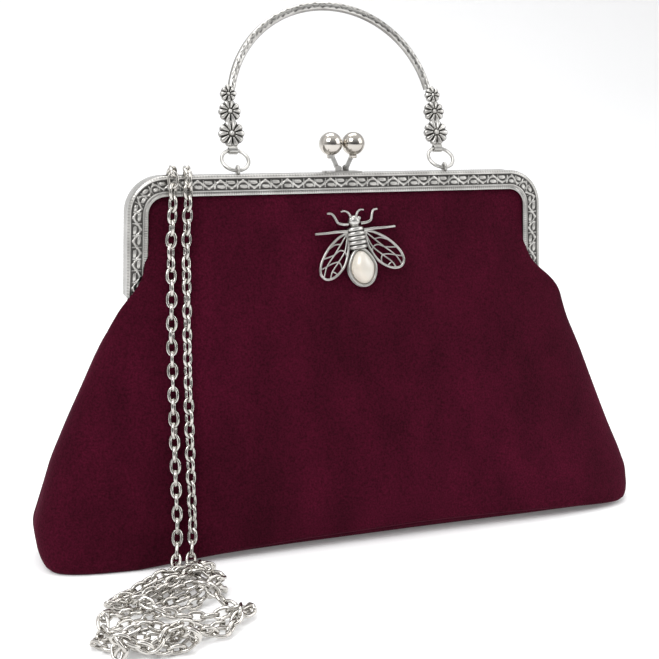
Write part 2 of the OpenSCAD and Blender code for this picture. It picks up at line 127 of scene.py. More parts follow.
def wall_y(x, z):
    """Depth of the velvet at a place on the front or back."""
    w = curve(LEFT if x < 0 else RIGHT, z)
    e = curve(EDGES, z)
    power = roundness(z)
    return e + (depth(z) - e) * max(0, 1 - (abs(x) / w) ** power) ** (1 / power)


BASE_INSET = 2.5
BOARD_INSET = 5.0
BOARD_LIFT = 3.6
ARCH_RISE = 6.5
ARCH_MIDDLE = 30
ARCH_REACH = 135
LINING_INSET = 2.6
# One link of the chain, then the two strands and the rolls of alternate links in degrees.
LINK_W = 5.4
LINK_L = 8.4
LINK_WIRE = 0.78
LINK_PITCH = LINK_L - 4 * LINK_WIRE
STRAND_X = -81.0
STRAND_APART = LINK_W + 1.3
STRAND_END_DROP = 22
STRAND_START = (STRAND_X, -0.9, FRAME_Z - STRAND_END_DROP)
ROLLS = (24, 114)
# The heap's left and right edges on the floor, each as (distance in front of the base, x).
HEAP_LEFT = [(24, -98), (34, -118), (50, -130), (76, -132), (82, -126)]
HEAP_RIGHT = [(24, -82), (36, -74), (62, -68), (70, -78), (82, -98)]
HEAP_NEAR, HEAP_FAR = 24, 82
HEAP_TURNS = 22.5
HEAP_TOP = 10


def strand(shift):
    """A strand from its clasp inside the bag, over the frame's rim and down to the floor."""
    x = STRAND_X + shift
    rim = -HALF_D
    points = [(x, STRAND_START[1], FRAME_Z - drop) for drop in (STRAND_END_DROP, 11, 2)]
    points += [(x, -2, FRAME_Z + 2), (x, rim + 1.4, FRAME_Z + 3), (x - 0.4, rim - 2.0, FRAME_Z + 1.4),
               (x - 0.8, rim - 3.0, FRAME_Z - 5), (x - 1.2, rim - 3.3, FRAME_Z - 13)]
    for z in np.linspace(FRAME_Z - 33, 22, 7):
        drift = 1 + 6.5 * max(0, 1 - z / (FRAME_Z - 13)) ** 0.6
        points.append((x - drift, -wall_y(x - drift, z) - LINK_W * 0.6, z))
    points += [(x - 8, -BASE_D - 4, 12), (x - 10, -BASE_D - 10, 6), (x - 12, -BASE_D - 20, 4.5)]
    return np.array(points)


def smooth_path(points, step):
    """A Catmull-Rom curve through the points, resampled at an even step."""
    p = np.array(points, float)
    p = np.vstack([2 * p[0] - p[1], p, 2 * p[-1] - p[-2]])
    dense = []
    for i in range(1, len(p) - 2):
        for t in np.linspace(0, 1, 12, endpoint=False):
            a, b, c, d = p[i - 1 : i + 3]
            dense.append(0.5 * (2 * b + (c - a) * t + (2 * a - 5 * b + 4 * c - d) * t**2
                                + (3 * b - a - 3 * c + d) * t**3))
    dense.append(p[-2])
    dense = np.array(dense)
    along = np.concatenate([[0], np.cumsum(np.linalg.norm(np.diff(dense, axis=0), axis=1))])
    count = max(2, int(round(along[-1] / step)) + 1)
    at = np.linspace(0, along[-1], count)
    return np.stack([np.interp(at, along, dense[:, k]) for k in range(3)], axis=1)


def heap_points():
    """Loose crossing loops on the floor; a later loop rests on the ones under it."""
    turn = np.linspace(0, HEAP_TURNS, 700)
    front = (HEAP_NEAR + HEAP_FAR) / 2 - (HEAP_FAR - HEAP_NEAR) / 2 * np.cos(0.618 * turn)
    front += 2 * np.sin(6.1 * turn)
    left, right = (np.interp(front, *zip(*edge)) for edge in (HEAP_LEFT, HEAP_RIGHT))
    x = (left + right) / 2 + (right - left) / 2 * np.sin(1.618 * turn - 0.5) + 2 * np.sin(7.3 * turn)
    y = -BASE_D - front
    z = np.full(len(x), LINK_W / 2)
    near = LINK_W * 0.9
    skip = 10
    for i in range(skip, len(x)):
        gap = np.hypot(x[: i - skip] - x[i], y[: i - skip] - y[i])
        under = gap < near
        if under.any():
            rise = np.sqrt(near**2 - gap[under] ** 2) * 0.85
            z[i] = max(z[i], (z[: i - skip][under] + rise).max())
    for _ in range(6):
        z = np.maximum(z, np.convolve(np.pad(z, 2, mode="edge"), np.ones(5) / 5, mode="valid"))
    return np.stack([x, y, np.minimum(z, HEAP_TOP)], axis=1)


def chain_route():
    points = np.vstack([strand(0), heap_points()[2:-2:5], strand(STRAND_APART)[::-1]])
    return smooth_path(points, LINK_PITCH)


# ---------------------------------------------------------------- mesh helpers


def add_mesh(name, verts_mm, faces, material, body, replaced=(), smooth_angle=40, attribute=None):
    mesh = bpy.data.meshes.new(name)
    mesh.from_pydata((np.asarray(verts_mm, float) * MM).tolist(), [], faces)
    mesh.validate()
    if attribute is not None:
        layer = mesh.attributes.new("patina", "FLOAT", "POINT")
        layer.data.foreach_set("value", np.asarray(attribute, float).ravel())
    mesh.shade_smooth()
    mesh.set_sharp_from_angle(angle=math.radians(smooth_angle))
    mesh.materials.append(material)
    piece = bpy.data.objects.new(name, mesh)
    bpy.context.scene.collection.objects.link(piece)
    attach(piece, body)
    if replaced:
        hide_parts(*replaced)
    return piece


def grid_faces(rows, cols, close_rows=False, close_cols=False, offset=0):
    faces = []
    for r in range(rows if close_rows else rows - 1):
        for c in range(cols if close_cols else cols - 1):
            r2, c2 = (r + 1) % rows, (c + 1) % cols
            faces.append((offset + r * cols + c, offset + r * cols + c2,
                          offset + r2 * cols + c2, offset + r2 * cols + c))
    return faces


def join_parts(parts):
    """Joins (vertices, faces) pairs into one pair."""
    verts, faces, base = [], [], 0
    for v, f in parts:
        verts.append(np.asarray(v, float))
        faces += [tuple(i + base for i in face) for face in f]
        base += len(v)
    return np.vstack(verts), faces


def tube(points, radii, sides=12):
    """A round closed wire along points; radii is one number or one for each point."""
    p = np.asarray(points, float)
    radii = np.broadcast_to(np.asarray(radii, float), (len(p),))
    tangent = np.gradient(p, axis=0)
    tangent /= np.linalg.norm(tangent, axis=1)[:, None]
    normal = np.cross(tangent[0], [0.3, 0.2, 1.0])
    rings = []
    angle = np.linspace(0, 2 * math.pi, sides, endpoint=False)
    for at, along, radius in zip(p, tangent, radii):
        normal = normal - along * normal.dot(along)
        normal /= np.linalg.norm(normal)
        side = np.cross(along, normal)
        rings.append(at + radius * (np.outer(np.cos(angle), normal) + np.outer(np.sin(angle), side)))
    verts = np.vstack(rings + [p[:1], p[-1:]])
    faces = grid_faces(len(p), sides, close_cols=True)
    first, last, end = len(p) * sides, len(p) * sides + 1, (len(p) - 1) * sides
    faces += [(first, (k + 1) % sides, k) for k in range(sides)]
    faces += [(last, end + k, end + (k + 1) % sides) for k in range(sides)]
    return verts, faces


def lathe(profile, sides=48):
    """Turns (radius, height) points about the Z axis; the ends lie on the axis or are capped."""
    angle = np.linspace(0, 2 * math.pi, sides, endpoint=False)
    rows = [[(max(r, 0.001) * math.cos(a), max(r, 0.001) * math.sin(a), h) for a in angle]
            for r, h in profile]
    verts = np.array(rows).reshape(-1, 3)
    faces = grid_faces(len(profile), sides, close_cols=True)
    faces.append(tuple(range(sides))[::-1])
    faces.append(tuple((len(profile) - 1) * sides + k for k in range(sides)))
    return verts, faces


def turned(verts, axis, degrees):
    a = math.radians(degrees)
    c, s = math.cos(a), math.sin(a)
    matrix = {"x": [[1, 0, 0], [0, c, -s], [0, s, c]], "y": [[c, 0, s], [0, 1, 0], [-s, 0, c]],
              "z": [[c, -s, 0], [s, c, 0], [0, 0, 1]]}[axis]
    return np.asarray(verts, float) @ np.array(matrix).T


# ---------------------------------------------------------------- materials


class Shader:
    """A small wrapper that keeps each material's node code short."""

    def __init__(self, name, **sockets):
        self.material = bpy.data.materials.new(name)
        self.material.use_nodes = True
        self.tree = self.material.node_tree
        self.surface = self.tree.nodes["Principled BSDF"]
        for socket, value in sockets.items():
            self.surface.inputs[socket.replace("_", " ")].default_value = value
        self.place = self.add("ShaderNodeTexCoord").outputs["Object"]

    def add(self, kind, **inputs):
        node = self.tree.nodes.new(kind)
        for socket, value in inputs.items():
            self.plug(value, node.inputs[socket.replace("_", " ")])
        return node

    def plug(self, value, socket):
        if isinstance(value, bpy.types.NodeSocket):
            self.tree.links.new(value, socket)
        else:
            socket.default_value = value

    def noise(self, scale, detail=2.0, stretch=None):
        place = self.place
        if stretch:
            place = self.add("ShaderNodeMapping", Vector=place, Scale=stretch).outputs["Vector"]
        return self.add("ShaderNodeTexNoise", Vector=place, Scale=scale, Detail=detail).outputs["Fac"]

    def ramp(self, fac, stops):
        node = self.add("ShaderNodeValToRGB", Fac=fac)
        ramp = node.color_ramp
        while len(ramp.elements) < len(stops):
            ramp.elements.new(0.5)
        for element, (place, colour) in zip(ramp.elements, stops):
            element.position = place
            element.color = (*colour, 1)
        return node.outputs["Color"]

    def mix(self, fac, a, b, blend="MIX"):
        node = self.tree.nodes.new("ShaderNodeMix")
        node.data_type = "RGBA"
        node.blend_type = blend
        self.plug(fac, node.inputs[0])
        self.plug(a, node.inputs[6])
        self.plug(b, node.inputs[7])
        return node.outputs[2]

    def scale_range(self, value, low, high):
        return self.add("ShaderNodeMapRange", Value=value, To_Min=low, To_Max=high).outputs["Result"]

    def bump(self, height, distance, strength=1.0):
        node = self.add("ShaderNodeBump", Height=height, Distance=distance, Strength=strength)
        self.plug(node.outputs["Normal"], self.surface.inputs["Normal"])

    def set(self, socket, value):
        self.plug(value, self.surface.inputs[socket])


def velvet_material():
    s = Shader("velvet", Roughness=0.95, Sheen_Weight=0.08, Sheen_Roughness=0.4)
    s.set("Sheen Tint", (0.60, 0.06, 0.20, 1))
    s.set("Specular IOR Level", 0.06)
    drift = s.ramp(s.noise(14, 4), [(0.3, (0.034, 0.0018, 0.0075)), (0.7, (0.046, 0.0024, 0.0105))])
    nap = s.ramp(s.noise(1100, 3), [(0.32, (0.62, 0.6, 0.6)), (0.68, (1.38, 1.4, 1.4))])
    brushed = s.ramp(s.noise(60, 4, (1, 1, 0.5)), [(0.3, (0.78, 0.78, 0.78)), (0.7, (1.22, 1.22, 1.22))])
    s.set("Base Color", s.mix(1.0, s.mix(1.0, drift, nap, "MULTIPLY"), brushed, "MULTIPLY"))
    s.bump(s.noise(1300, 2), 0.0004, 0.8)
    return s.material


def lining_material():
    s = Shader("lining_satin", Roughness=0.42, Sheen_Weight=0.2)
    weave = s.add("ShaderNodeTexWave", Vector=s.place, Scale=420.0, Distortion=1.5).outputs["Fac"]
    s.set("Base Color", s.ramp(weave, [(0.2, (0.045, 0.004, 0.015)), (0.8, (0.075, 0.008, 0.026))]))
    s.bump(weave, 0.00006)
    return s.material


def antique_material():
    s = Shader("antique_silver", Metallic=1.0)
    patina = s.add("ShaderNodeAttribute")
    patina.attribute_name = "patina"
    cloud = s.noise(130, 4)
    bright = s.ramp(cloud, [(0.35, (0.42, 0.41, 0.39)), (0.7, (0.62, 0.61, 0.585))])
    s.set("Base Color", s.mix(patina.outputs["Fac"], bright, (0.06, 0.057, 0.054, 1)))
    s.set("Roughness", s.scale_range(s.noise(420, 3), 0.22, 0.42))
    s.bump(s.noise(900, 3), 0.00008, 0.6)
    return s.material


def bright_material():
    s = Shader("bright_silver", Metallic=1.0)
    smudge = s.noise(70, 3)
    s.set("Base Color", s.ramp(smudge, [(0.3, (0.46, 0.44, 0.41)), (0.7, (0.60, 0.58, 0.545))]))
    s.set("Roughness", s.scale_range(s.noise(260, 3), 0.10, 0.24))
    s.bump(s.noise(600, 2), 0.00003, 0.4)
    return s.material


def ball_material():
    s = Shader("ball_silver", Metallic=1.0)
    s.set("Base Color", s.ramp(s.noise(40, 2), [(0.3, (0.46, 0.43, 0.39)), (0.7, (0.56, 0.53, 0.49))]))
    s.set("Roughness", s.scale_range(s.noise(180, 2), 0.06, 0.14))
    return s.material


def pearl_material():
    s = Shader("pearl", Roughness=0.22, Coat_Weight=0.7, Coat_Roughness=0.08)
    lustre = s.ramp(s.noise(60, 2, (1, 1, 0.4)),
                    [(0.3, (0.52, 0.46, 0.40)), (0.55, (0.66, 0.61, 0.53)), (0.75, (0.56, 0.54, 0.50))])
    s.set("Base Color", lustre)
    s.set("Subsurface Weight", 0.15)
    s.set("Subsurface Radius", (0.002, 0.0015, 0.0012))
    return s.material


def board_material():
    s = Shader("board", Roughness=0.9)
    fibre = s.noise(350, 5, (0.3, 1, 1))
    s.set("Base Color", s.ramp(fibre, [(0.3, (0.24, 0.16, 0.09)), (0.7, (0.40, 0.29, 0.18))]))
    s.bump(fibre, 0.0001)
    return s.material


def paper_material():
    s = Shader("paper_cord", Roughness=0.85)
    twist = s.add("ShaderNodeTexWave", Vector=s.place, Scale=260.0, Distortion=0.6).outputs["Fac"]
    s.set("Base Color", s.ramp(twist, [(0.2, (0.42, 0.34, 0.22)), (0.8, (0.66, 0.58, 0.44))]))
    s.bump(twist, 0.0001)
    return s.material


velvet = velvet_material()
board = board_material()
satin = lining_material()
antique = antique_material()
bright = bright_material()

# ---------------------------------------------------------------- chain


def link_mesh(at, along, across):
    """One oval link round its centre, lying in the plane of along and across."""
    normal = np.cross(along, across)
    half_l, half_w = LINK_L / 2 - LINK_WIRE, LINK_W / 2 - LINK_WIRE
    steps, sides = 20, 8
    turn = np.linspace(0, 2 * math.pi, steps, endpoint=False)
    u = half_l * np.sign(np.cos(turn)) * np.abs(np.cos(turn)) ** 0.85
    v = half_w * np.sin(turn)
    angle = np.linspace(0, 2 * math.pi, sides, endpoint=False)
    out = np.outer(np.cos(turn), along) + np.outer(np.sin(turn), across)
    centre = at + np.outer(u, along) + np.outer(v, across)
    verts = (centre[:, None, :] + LINK_WIRE * (np.cos(angle)[None, :, None] * out[:, None, :]
             + np.sin(angle)[None, :, None] * normal[None, None, :]))
    return verts.reshape(-1, 3), grid_faces(steps, sides, True, True)


def make_chain():
    route = chain_route()
    middle = (route[1:] + route[:-1]) / 2
    along = np.diff(route, axis=0)
    along /= np.linalg.norm(along, axis=1)[:, None]
    across = np.cross(along[0], [0, 1, 0])
    wobble = np.random.default_rng(7)
    parts = []
    for i, (at, forward) in enumerate(zip(middle, along)):
        sideways = np.cross(forward, [0, 1, 0]) if abs(forward[2]) > 0.5 else across
        across = across * 0.7 + 0.3 * sideways / np.linalg.norm(sideways)
        across = across - forward * across.dot(forward)
        across /= np.linalg.norm(across)
        roll = math.radians(ROLLS[i % 2] + wobble.uniform(-12, 12))
        turned_across = across * math.cos(roll) + np.cross(forward, across) * math.sin(roll)
        parts.append(link_mesh(at, forward, turned_across))
    verts, faces = join_parts(parts)
    chain = add_mesh("chain", verts, faces, bright, "root",
                     ("chain_strand_left", "chain_strand_right", "chain_pile"), 60)


make_chain()

# ---------------------------------------------------------------- velvet body

def ripple(x, z, seed):
    """Low soft undulations of the padded velvet."""
    broad = noise.noise(Vector((x / 42, z / 50, seed)))
    fine = noise.noise(Vector((x / 15, z / 30, seed + 5)))
    return 1.1 * broad + 0.25 * fine


def arch(x):
    """How far the bag's lower edge arches off the floor."""
    return ARCH_RISE * max(0, 1 - ((x - ARCH_MIDDLE) / ARCH_REACH) ** 2)


def wall_surface(side, inset, low, high, cols=150, rows=110, wave=1.0):
    """One half of the body's wall: side is -1 in front and 1 behind."""
    points = []
    for z in np.linspace(low, high, rows):
        tuck = 2.0 * max(0, 1 - z / 3) ** 2
        left = curve(LEFT, z) - inset - tuck
        right = curve(RIGHT, z) - inset - tuck
        if side > 0:
            tucked = 4.5 * math.exp(-(((z - 114) / 9) ** 2))
            left, right = left - tucked, right - tucked
        e = max(0, curve(EDGES, z) - inset)
        d = depth(z) - inset - tuck
        power = roundness(z)
        for a in np.linspace(0, math.pi, cols):
            c, s = math.cos(a), math.sin(a)
            x = -left * c ** (2 / power) if c > 0 else right * abs(c) ** (2 / power)
            y = e + (d - e) * s ** (2 / power)
            bulge = wave * ripple(x, z, side) * s * min(1, max(0, (MOUTH_Z - 5 - z) / 22))
            lift = arch(x) * math.exp(-z / 16) if low < 5 else 0
            points.append((x, side * (y + bulge * min(1, z / 25)), z + lift))
    return np.array(points), grid_faces(rows, cols)


def thicken(piece, thickness, flip):
    shell = piece.modifiers.new("thickness", "SOLIDIFY")
    shell.thickness = thickness * MM
    shell.offset = -1 if flip else 1
    shell.use_even_offset = False


def base_surface(inset, height):
    """The underside, lifted along its edge where the bag arches off the floor."""
    rings, cols = 14, 150
    points = []
    power = roundness(0)
    for share in np.linspace(0, 1, rings):
        edge = share * (BASE_D - inset) / (BASE_D - BASE_INSET)
        for a in np.linspace(0, 2 * math.pi, cols, endpoint=False):
            c, s = math.cos(a), math.sin(a)
            w = curve(RIGHT if c > 0 else LEFT, 0) - inset
            x = share * w * math.copysign(abs(c) ** (2 / power), c)
            y = share * (BASE_D - inset) * math.copysign(abs(s) ** (2 / power), s)
            points.append((x, y, height + arch(x) * edge**6))
    return points, [f[::-1] for f in grid_faces(rings, cols, close_cols=True)]


def make_base():
    base = add_mesh("velvet_base", *base_surface(BASE_INSET, 0.8), velvet, "root", ("base_panel",), 80)
    thicken(base, 0.6, True)
    stiffener = add_mesh("stiffening_board", *base_surface(BOARD_INSET, BOARD_LIFT), board, "root",
                         ("base_board",), 80)
    thicken(stiffener, 1.6, False)


def blended(name, side, inset, low, high, material, replaced, wave=1.0, flip=False):
    verts, faces = wall_surface(side, inset, low, high, wave=wave)
    if flip:
        faces = [f[::-1] for f in faces]
    mesh = bpy.data.meshes.new(name)
    mesh.from_pydata((verts * MM).tolist(), [], faces)
    mesh.shade_smooth()
    mesh.materials.append(material)
    piece = bpy.data.objects.new(name, mesh)
    bpy.context.scene.collection.objects.link(piece)
    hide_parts(*replaced)
    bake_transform(piece)
    return piece


def make_soft_parts():
    verts, faces = wall_surface(-1, 0, 0.5, MOUTH_Z)
    front = add_mesh("velvet_front", verts, faces, velvet, "root",
                     ("front_panel", "gusset_left", "gusset_right"), 80)
    thicken(front, 1.4, True)
    back = blended("velvet_back", 1, 0, 0.5, MOUTH_Z, velvet, ("back_panel", "back_panel_top"),
                   flip=True)
    thicken(back, 1.4, True)
    verts, faces = wall_surface(-1, LINING_INSET, 7, MOUTH_Z - 3, 90, 60, 0.8)
    lining_front = add_mesh("lining_front", verts, faces, satin, "root", ("front_lining",), 80)
    thicken(lining_front, 0.4, True)
    lining_back = blended("lining_back", 1, LINING_INSET, 7, MOUTH_Z - 3, satin,
                          ("back_lining", "back_lining_top"), wave=0.8, flip=True)
    thicken(lining_back, 0.4, True)
    make_base()


make_soft_parts()

# ---------------------------------------------------------------- embossed frame

BAND = 9.0
WALL = 0.9
PARTING = 0.15
CORNER_R = 17.0
CORNER_X = 84.5
CORNER_Z = FRAME_Z - CORNER_R
LEG_LEAN = math.radians(2.5)
LEG_L = 37.0
EAR_R = 4.5
EAR_X = 100.7
EAR_T = 1.2
EAR_CLEAR = 0.3
VINE_AT = 4.1
NOTCHES = (STRAND_X, STRAND_X + STRAND_APART)
NOTCH_W = LINK_W + 1
NOTCH_Y = LINK_W / 2 + 0.7


def arch_path(step=0.36):
    """The frame's outer edge: place, outward normal and distance along it, for each column."""
    out = np.array([math.cos(LEG_LEAN), math.sin(LEG_LEAN)])
    down = np.array([math.sin(LEG_LEAN), -math.cos(LEG_LEAN)])
    centre = np.array([CORNER_X, CORNER_Z])
    places, normals = [], []
    for t in np.arange(LEG_L, 0, -step):
        places.append(centre + CORNER_R * out + t * down)
        normals.append(out)
    for a in np.arange(LEG_LEAN, math.pi / 2, step / CORNER_R):
        normal = np.array([math.cos(a), math.sin(a)])
        places.append(centre + CORNER_R * normal)
        normals.append(normal)
    for x in np.arange(CORNER_X, 0, -step):
        places.append(np.array([x, float(FRAME_Z)]))
        normals.append(np.array([0.0, 1.0]))
    right = np.array(places)
    right_n = np.array(normals)
    flip = np.array([-1, 1])
    place = np.vstack([right, (right * flip)[::-1]])
    normal = np.vstack([right_n, (right_n * flip)[::-1]])
    along = np.concatenate([[0], np.cumsum(np.linalg.norm(np.diff(place, axis=0), axis=1))])
    return place, normal, along - along[-1] / 2


def oval(u, v, half_u, half_v):
    return np.clip(1 - (u / half_u) ** 2 - (v / half_v) ** 2, 0, 1) ** 0.5


def emboss(s, d):
    """Height and patina of the front wall's relief, s along the frame and d in from its edge."""
    period = 10.4
    half = period / 2
    swing = np.sin(2 * math.pi * s / period)
    vine = np.exp(-(((d - VINE_AT) - 1.35 * swing) / 0.34) ** 2)
    cell = np.mod(s, half) - half / 2
    side = np.where(np.mod(np.floor(s / half), 2) == 0, 1.0, -1.0)
    leaf = oval(cell + 0.35 * (d - VINE_AT), d - VINE_AT + side * 0.95, 2.0, 0.85)
    vein = 0.45 * np.exp(-((d - VINE_AT + side * 0.95) / 0.16) ** 2) * (leaf > 0.2)
    cross_cell = np.mod(s + half / 2, half) - half / 2
    cross = np.maximum(oval(cross_cell, d - VINE_AT, 0.35, 2.3), oval(cross_cell, d - VINE_AT, 1.0, 0.3))
    dot = oval(cell, d - VINE_AT - side * 1.75, 0.55, 0.5)
    inside = (d > 1.7) & (d < 6.6)
    figure = np.maximum.reduce([vine * 0.9, leaf - vein, cross * 0.8, dot]) * inside
    outer_bead = oval(d - 0.75, 0, 0.75, 1)
    inner_line = oval(d - 6.9, 0, 0.32, 1)
    grain = oval(d - 8.05, 0, 0.85, 1) * (0.35 + 0.65 * np.abs(np.sin(math.pi * s / 1.05)))
    height = np.maximum.reduce([0.48 * figure, 0.35 * outer_bead, 0.25 * inner_line, 0.32 * grain])
    low = np.clip(1 - height / 0.26, 0, 1)
    return height, low * np.where((d > 1.2) & (d < 8.8), 0.95, 0.3)


def frame_half(name, side, body, replaced):
    """A U-shaped channel swept round the arch, with its relief, its notch and its ears."""
    place, normal, along = arch_path()
    face = np.linspace(BAND, 1.0, 44)
    turn = np.linspace(0, math.pi / 2, 7)[1:]
    rim = np.linspace(HALF_D - 1.0, PARTING, 9)[1:]
    insets = list(face) + list(1 - np.sin(turn)) + [0.0] * len(rim)
    depths = [HALF_D] * len(face) + list(HALF_D - 1 + np.cos(turn)) + list(rim)
    relief_rows = len(face)
    edge_rows = len(turn)
    inner = BAND - 1.5
    for inset, deep in ((inner, PARTING), (inner, PARTING + WALL), (WALL, PARTING + WALL),
                        (WALL, HALF_D - WALL), (BAND, HALF_D - WALL)):
        insets.append(inset)
        depths.append(deep)
    in_notch = np.zeros(len(place), bool)
    for x in NOTCHES:
        in_notch |= (np.abs(place[:, 0] - x) < NOTCH_W / 2) & (normal[:, 1] > 0.99)
    rows, patina = [], []
    for k, (inset, deep) in enumerate(zip(insets, depths)):
        height = np.zeros(len(place))
        dark = np.full(len(place), 0.25)
        if k < relief_rows:
            height, dark = emboss(along, np.full(len(place), inset))
        elif k < relief_rows + edge_rows:
            mill = np.abs(np.sin(math.pi * along / 1.3))
            height = 0.16 * mill
            dark = 0.55 * (1 - mill)
        y = deep + (height if k < relief_rows else 0.5 * height)
        y = np.where(in_notch, np.maximum(y, NOTCH_Y + (0 if deep < 0.5 else WALL * (deep < 2))), y)
        out = 0.0 if k < relief_rows else 0.7 * height
        point = place + normal * (out - inset)[:, None] if np.ndim(out) else place - normal * inset
        rows.append(np.stack([point[:, 0], side * y, point[:, 1]], axis=1))
        patina.append(dark)
    cols = len(place)
    faces = grid_faces(len(rows), cols, close_rows=True)
    ends = [tuple(r * cols for r in range(len(rows))),
            tuple(r * cols + cols - 1 for r in range(len(rows)))[::-1]]
    faces += ends
    if side > 0:
        faces = [f[::-1] for f in faces]
    verts = np.vstack(rows)
    dark = np.concatenate(patina)
    ear_inset = 0 if side < 0 else EAR_T + EAR_CLEAR
    for hand in (-1, 1):
        ear_v, ear_f = hinge_ear(hand, side, ear_inset)
        faces += [tuple(i + len(verts) for i in f) for f in ear_f]
        verts = np.vstack([verts, ear_v])
        dark = np.concatenate([dark, np.full(len(ear_v), 0.2)])
    return add_mesh(name, verts, faces, antique, body, replaced, 50, dark)


def hinge_ear(hand, side, inset):
    """A flat round-ended ear, drawn in the YZ plane."""
    arc = np.linspace(math.pi, 2 * math.pi, 25)
    outline = [(EAR_R * math.cos(a), HINGE_Z + EAR_R * math.sin(a)) for a in arc]
    outline += [(EAR_R, HINGE_Z + 1), (0.2 + PARTING, HINGE_Z + 5), (PARTING, HINGE_Z + 10)]
    outline += [(-HALF_D, HINGE_Z + 10), (-HALF_D, HINGE_Z + 4)]
    outline = [(-y * side if side > 0 else y, z) for y, z in outline]
    count = len(outline)
    x0 = hand * (EAR_X - inset)
    x1 = hand * (EAR_X - inset - EAR_T)
    verts = [(x0, y, z) for y, z in outline] + [(x1, y, z) for y, z in outline]
    faces = [tuple(range(count)), tuple(range(count, 2 * count))[::-1]]
    faces += [(k, (k + 1) % count, count + (k + 1) % count, count + k) for k in range(count)]
    return np.array(verts), faces


frame_half("frame_front_relief", -1, "root", ("front_frame",))
frame_half("frame_back_relief", 1, "back_half", ("back_frame",))

# ---------------------------------------------------------------- handle

HANDLE_LEAN = 15.5
RING_LEAN = 45.0
EYELET = tuple((eyelet_low + eyelet_high) / 2)
RING_WIRE = 0.85
RING_R = (ring_high[0] - ring_low[0]) / 2 - RING_WIRE
PIVOT = (0.0, EYELET[1] + 2 * RING_R * math.sin(math.radians(RING_LEAN)),
         EYELET[2] + 2 * RING_R * math.cos(math.radians(RING_LEAN)))
ROSETTES = {"large": (6.0, 10, 7.65), "medium": (5.1, 10, 18.0), "small": (3.7, 8, 26.25)}
HANDLE_H = 71.6
BOW_FOOT = 29.8
BOW_W = 4.2
BOW_T = 2.2


def on_rings(verts):
    """Moves a shape drawn upright, with the rings' tops at the origin, to its leaning place."""
    return turned(verts, "x", -HANDLE_LEAN) + np.array(PIVOT)


def make_bow():
    rise = HANDLE_H - BOW_FOOT
    radius = (51.0**2 + rise**2) / (2 * rise)
    end = math.asin((radius - rise) / radius)
    angle = np.linspace(end, math.pi - end, 420)
    along = (angle - math.pi / 2) * radius
    round_face = np.linspace(-1, 1, 25)
    rows, patina = [], []
    taper = 1 - 0.12 * np.abs(along / along.max()) ** 2
    for u in round_face:
        arch = math.sqrt(max(0, 1 - u * u))
        wave = 0.42 * np.sin(along * 2 * math.pi / 7.4)
        vine = np.exp(-((u - wave) / 0.13) ** 2) * (0.55 + 0.45 * np.sin(along * 2 * math.pi / 2.9))
        leaf = oval(np.mod(along, 3.7) - 1.85, (u + 1.1 * wave) * 2.4, 1.25, 0.62)
        edge = np.full(len(along), max(0.0, (abs(u) - 0.78) / 0.22))
        cut = 0.18 * np.maximum(leaf, vine)
        r = radius - BOW_W / 2 + u * BOW_W / 2 * taper
        y = -(BOW_T * arch ** 0.8 - BOW_T / 2) + cut * arch
        rows.append(np.stack([r * np.cos(angle), y, HANDLE_H - radius + r * np.sin(angle)], axis=1))
        patina.append(np.clip(np.maximum(0.85 * leaf, 0.9 * vine) + 0.7 * edge, 0, 1))
    for u in (1, 0, -1):
        r = radius - BOW_W / 2 + 0.9 * u * BOW_W / 2 * taper
        y = np.full(len(angle), BOW_T / 2)
        rows.append(np.stack([r * np.cos(angle), y, HANDLE_H - radius + r * np.sin(angle)], axis=1))
        patina.append(np.full(len(angle), 0.2))
    faces = grid_faces(len(rows), len(angle), close_rows=True)
    cols = len(angle)
    faces += [tuple(r * cols for r in range(len(rows))),
              tuple(r * cols + cols - 1 for r in range(len(rows)))[::-1]]
    add_mesh("handle_bow_engraved", on_rings(np.vstack(rows)), faces, antique, "handle",
             ("handle_bow",), 50, np.concatenate(patina))


def rosette(size, hand):
    """A daisy with raised wedge petals and a domed middle."""
    r, petals, height = ROSETTES[size]
    radial, sides = 26, petals * 12
    share = np.linspace(0, 1, radial)[:, None]
    a = np.linspace(0, 2 * math.pi, sides, endpoint=False)[None, :]
    petal = np.abs(np.cos(a * petals / 2))
    edge = r * (0.86 + 0.14 * np.sqrt(petal))
    rho = share * edge
    dome = oval(rho, 0, 0.24 * r, 1) * 0.30 * r
    fall = np.sqrt(np.clip(1 - ((share - 0.45) / 0.60) ** 2, 0, 1)) * np.clip((share - 0.2) / 0.15, 0, 1)
    lobe = fall * np.clip(petal * 1.5 - 0.35, 0, 1) ** 0.6
    top = 0.5 + np.maximum(dome, lobe * 1.25)
    verts = np.stack([rho * np.cos(a), -top, rho * np.sin(a)], axis=-1).reshape(-1, 3)
    back = np.stack([edge[0] * np.cos(a[0]), np.full(sides, 0.9), edge[0] * np.sin(a[0])], axis=1)
    verts = np.vstack([verts, back])
    faces = grid_faces(radial + 1, sides, close_cols=True)
    faces.append(tuple(radial * sides + k for k in range(sides))[::-1])
    low = np.clip(1.1 - (top - 0.5) / 0.7, 0, 1) * 0.95
    patina = np.concatenate([low.ravel(), np.full(sides, 0.3)])
    verts = verts + np.array([hand * EYELET[0], 0, height])
    side_name = "left" if hand < 0 else "right"
    add_mesh(f"daisy_{size}_{side_name}", on_rings(verts), faces, antique, "handle",
             (f"rosette_{size}_{side_name}",), 60, patina)


def make_bridges(hand):
    """Small beads that bridge the daisies and the foot of the bow."""
    parts = []
    for height in (2.2, 12.9, 22.6, 29.6):
        profile = [(0.001, -1.0), (0.7, -0.8), (1.1, -0.3), (1.1, 0.3), (0.7, 0.8), (0.001, 1.0)]
        v, f = lathe(profile, 20)
        parts.append((v * [1, 0.8, 1.3] + [hand * EYELET[0], 0.1, height], f))
    verts, faces = join_parts(parts)
    side_name = "left" if hand < 0 else "right"
    add_mesh(f"bridge_beads_{side_name}", on_rings(verts), faces, antique, "handle", (), 60,
             np.full(len(verts), 0.15))


